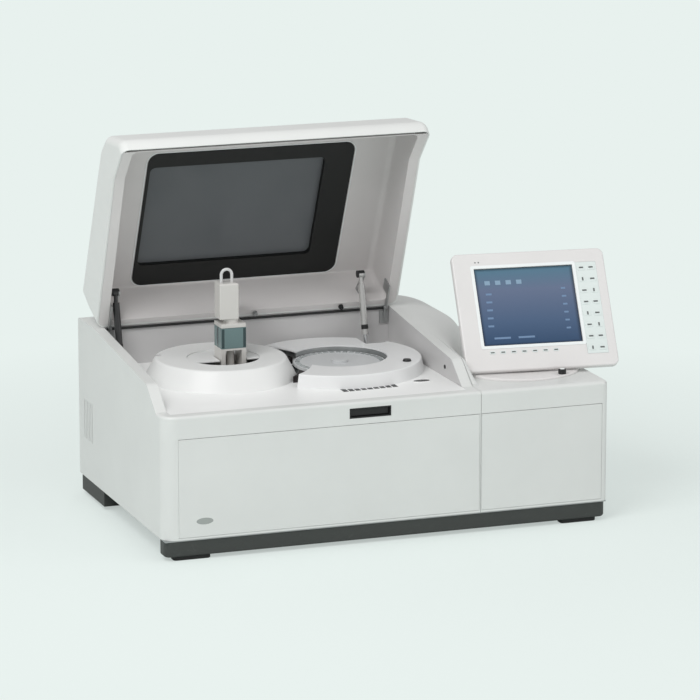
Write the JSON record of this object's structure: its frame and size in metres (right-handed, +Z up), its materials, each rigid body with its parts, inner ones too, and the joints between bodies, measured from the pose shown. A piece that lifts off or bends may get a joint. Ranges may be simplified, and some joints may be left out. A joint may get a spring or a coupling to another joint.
{
  "type": "benchtop chemistry analyzer",
  "caption": "Benchtop chemistry analyzer with a hinged windowed lid, reagent drum, reaction rotor, sampling tower and tilting display, shown open.",
  "frame": {"origin": "centre of the bounding box on the bench plane", "axes": "+Z up, +Y to the back of the instrument, +X to the right of the person facing it"},
  "size_m": [1.0001, 0.575, 0.7787],
  "materials": {
    "housing": "satin",
    "monitor_case": "satin",
    "deck": "satin",
    "liner": "matte",
    "plinth_plastic": "matte",
    "rubber": "matte",
    "pan_steel": "satin",
    "rear_steel": "satin",
    "black_plastic": "satin",
    "black_frame": "gloss",
    "smoked": "tinted",
    "port_steel": "brushed",
    "steel": "brushed",
    "motor": "satin",
    "hinge_steel": "satin",
    "screw_steel": "satin",
    "psu": "satin",
    "circuit": "satin",
    "carousel": "satin",
    "bottle": "satin",
    "tube_glass": "clear",
    "cuvette": "clear",
    "tower": "gloss",
    "teal": "tinted",
    "needle_steel": "polished",
    "tubing": "clear",
    "chrome": "polished",
    "strut_paint": "satin",
    "display": "lit",
    "key_grey": "matte"
  },
  "bodies": {
    "instrument": {"base_pan": "pan_steel", "plinth": "plinth_plastic", "rubber_feet": "rubber", "main_housing": "housing", "front_cover_main": "housing", "side_housing": "housing", "front_cover_side": "housing", "rear_panel": "rear_steel", "power_inlet": "black_plastic", "data_ports": "port_steel", "fluid_ports": "black_plastic", "fan_frame": "black_plastic", "deck_plate": "deck", "strut_grommets": "rubber", "viewing_port": "smoked", "drum_cover": "deck", "drum_bowl": "steel", "carousel_motor": "motor", "reaction_cover": "deck", "reaction_bowl": "steel", "reaction_motor": "motor", "photometer": "black_plastic", "wash_station": "black_plastic", "hinge_brackets": "hinge_steel", "strut_brackets": "hinge_steel", "monitor_base": "housing", "latch_bezel": "black_plastic", "cover_screws": "screw_steel", "power_supply": "psu", "main_board": "circuit", "syringe_pump": "motor"},
    "fan": {"fan_rotor": "black_plastic"},
    "rocker": {"power_rocker": "black_plastic"},
    "carousel": {"reagent_carousel": "carousel", "reagent_bottles": "bottle", "sample_tubes": "tube_glass"},
    "rotor": {"reaction_disk": "carousel", "cuvettes": "cuvette"},
    "mast": {"probe_mast": "tower", "mast_window": "teal"},
    "arm": {"probe_arm": "tower", "probe_needle": "needle_steel", "tubing_loop": "tubing"},
    "lid": {"lid_shell": "housing", "lid_liner": "liner", "window_frame": "black_frame", "window_glass": "smoked", "hinge_leaves": "hinge_steel", "strut_ears": "hinge_steel"},
    "left_rod": {"strut_rod_left": "chrome"},
    "right_rod": {"strut_rod_right": "chrome"},
    "left_tube": {"strut_tube_left": "strut_paint"},
    "right_tube": {"strut_tube_right": "strut_paint"},
    "yoke": {"monitor_yoke": "housing"},
    "display": {"monitor_bezel": "monitor_case", "monitor_shell": "monitor_case", "monitor_screen": "display", "keypad": "key_grey"},
    "knob": {"tilt_knob": "black_plastic"},
    "latch": {"latch_button": "black_plastic"}
  },
  "joints": [
    {"name": "lid_hinge", "type": "hinge", "parent": "instrument", "child": "lid", "pos_m": [0, 0.1725, 0.366], "axis": [1, 0, 0], "range_deg": [0, 74]},
    {"name": "strut_left_swing", "type": "hinge", "parent": "instrument", "child": "left_rod", "pos_m": [-0.45269, 0.1125, 0.192], "axis": [1, 0, 0], "range_deg": [-0.5, 16.91]},
    {"name": "strut_left_extend", "type": "slide", "parent": "left_rod", "child": "left_tube", "axis": [0, 0.2286, 0.9735], "range_m": [-0.06172, 0.0005]},
    {"name": "strut_right_swing", "type": "hinge", "parent": "instrument", "child": "right_rod", "pos_m": [0.07231, 0.1125, 0.192], "axis": [1, 0, 0], "range_deg": [-0.5, 16.91]},
    {"name": "strut_right_extend", "type": "slide", "parent": "right_rod", "child": "right_tube", "axis": [0, 0.2286, 0.9735], "range_m": [-0.06172, 0.0005]},
    {"name": "probe_lift", "type": "slide", "parent": "instrument", "child": "mast", "axis": [0, 0, 1], "range_m": [-0.0755, 0.0005]},
    {"name": "probe_swing", "type": "hinge", "parent": "mast", "child": "arm", "pos_m": [-0.26469, 0.0045, 0.409], "axis": [0, 0, 1], "range_deg": [-72, 86.04]},
    {"name": "carousel_spin", "type": "hinge", "parent": "instrument", "child": "carousel", "pos_m": [-0.28269, 0.0125, 0.214], "axis": [0, 0, 1], "continuous": true},
    {"name": "rotor_spin", "type": "hinge", "parent": "instrument", "child": "rotor", "pos_m": [-0.03569, -0.0035, 0.302], "axis": [0, 0, 1], "continuous": true},
    {"name": "fan_spin", "type": "hinge", "parent": "instrument", "child": "fan", "pos_m": [-0.35769, 0.27, 0.2], "axis": [0, 1, 0], "continuous": true},
    {"name": "power_switch", "type": "hinge", "parent": "instrument", "child": "rocker", "pos_m": [-0.14569, 0.2773, 0.11], "axis": [1, 0, 0], "range_deg": [-8, 8]},
    {"name": "latch_press", "type": "slide", "parent": "instrument", "child": "latch", "axis": [0, 1, 0], "range_m": [0, 0.002], "stiffness_N_per_m": 600},
    {"name": "monitor_swivel", "type": "hinge", "parent": "instrument", "child": "yoke", "pos_m": [0.32431, -0.1235, 0.293], "axis": [0, 0, 1], "range_deg": [0, 20]},
    {"name": "monitor_tilt", "type": "hinge", "parent": "yoke", "child": "display", "pos_m": [0.32877, -0.08375, 0.344], "axis": [0.9938, -0.1115, 0], "range_deg": [-18, 0]},
    {"name": "knob_turn", "type": "hinge", "parent": "instrument", "child": "knob", "pos_m": [0.35931, -0.2195, 0.293], "axis": [0, 0, 1], "range_deg": [0, 90]}
  ],
  "couplings": [
    {"joint": "strut_left_swing", "follows": "lid_hinge", "ratio": 0.22173},
    {"joint": "strut_right_swing", "follows": "lid_hinge", "ratio": 0.22173},
    {"joint": "strut_left_extend", "follows": "lid_hinge", "m_per_rad": -0.047401},
    {"joint": "strut_right_extend", "follows": "lid_hinge", "m_per_rad": -0.047401},
    {"joint": "probe_lift", "follows": "lid_hinge", "m_per_rad": -0.05807}
  ]
}
